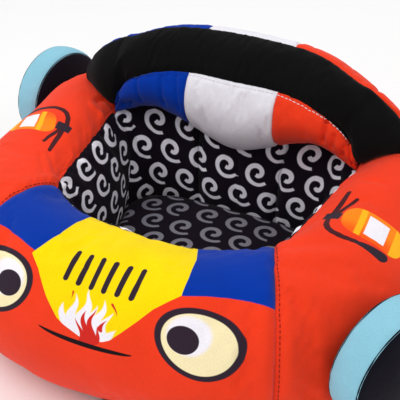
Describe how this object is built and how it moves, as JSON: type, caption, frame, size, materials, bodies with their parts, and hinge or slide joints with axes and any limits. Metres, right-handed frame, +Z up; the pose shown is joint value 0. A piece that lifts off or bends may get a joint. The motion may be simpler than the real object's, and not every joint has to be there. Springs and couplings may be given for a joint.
{
  "type": "baby floor cushion",
  "caption": "Stuffed ring cushion shaped like a fire engine, with a deep D-shaped seat well, a crescent backrest and a soft wheel at each corner, for a baby that learns to sit.",
  "frame": {"origin": "middle of the rectangle that the cushion covers, on the floor", "axes": "+Z up, the engine's front towards -Y, the left of the baby that sits in it towards +X"},
  "size_m": [0.579, 0.4365, 0.2458],
  "materials": {
    "red_plush": "short red plush with a soft sheen",
    "front_plush": "printed short plush: yellow hood, blue corners, red nose with eyes",
    "blue_plush": "short royal blue plush",
    "white_plush": "short white plush",
    "black_velvet": "black velvet band",
    "swirl_cloth": "smooth woven cloth, near-black with pale lilac swirls",
    "light_blue_plush": "short light blue plush",
    "black_plush": "short black plush",
    "fibre_fill": "hollow polyester fibre, loose",
    "base_cloth": "quilted polyester with small anti-slip dots",
    "zip_tape": "woven black polyester tape",
    "zip_coil": "black polyester monofilament coil",
    "zip_metal": "black lacquered zinc"
  },
  "bodies": {
    "cushion": {"ring_filling": "fibre_fill", "front_cover": "front_plush", "left_side_cover": "red_plush", "right_side_cover": "red_plush", "front_lining": "swirl_cloth", "left_lining": "swirl_cloth", "right_lining": "swirl_cloth", "back_lining": "swirl_cloth", "seat_pad_cover": "swirl_cloth", "seat_pad_filling": "fibre_fill", "base_panel": "base_cloth", "zip_tapes": "zip_tape", "zip_coils": "zip_coil", "zip_stops": "zip_metal", "backrest_filling": "fibre_fill", "backrest_front_blue_panel": "blue_plush", "backrest_front_white_panel": "white_plush", "backrest_front_red_panel": "red_plush", "backrest_rear_blue_panel": "blue_plush", "backrest_rear_white_panel": "white_plush", "backrest_rear_red_panel": "red_plush", "backrest_gusset": "black_velvet", "rear_left_wheel_tread": "light_blue_plush", "rear_left_wheel_outer_face": "black_plush", "rear_left_wheel_inner_face": "black_plush", "rear_left_wheel_filling": "fibre_fill", "rear_right_wheel_tread": "light_blue_plush", "rear_right_wheel_outer_face": "black_plush", "rear_right_wheel_inner_face": "black_plush", "rear_right_wheel_filling": "fibre_fill", "front_left_wheel_tread": "light_blue_plush", "front_left_wheel_outer_face": "black_plush", "front_left_wheel_inner_face": "black_plush", "front_left_wheel_filling": "fibre_fill", "front_right_wheel_tread": "light_blue_plush", "front_right_wheel_outer_face": "black_plush", "front_right_wheel_inner_face": "black_plush", "front_right_wheel_filling": "fibre_fill"},
    "zip_slider": {"zip_slider": "zip_metal"}
  },
  "joints": [
    {"name": "zip_slide", "type": "slide", "parent": "cushion", "child": "zip_slider", "axis": [1, 0, 0], "range_m": [0, 0.229]}
  ]
}
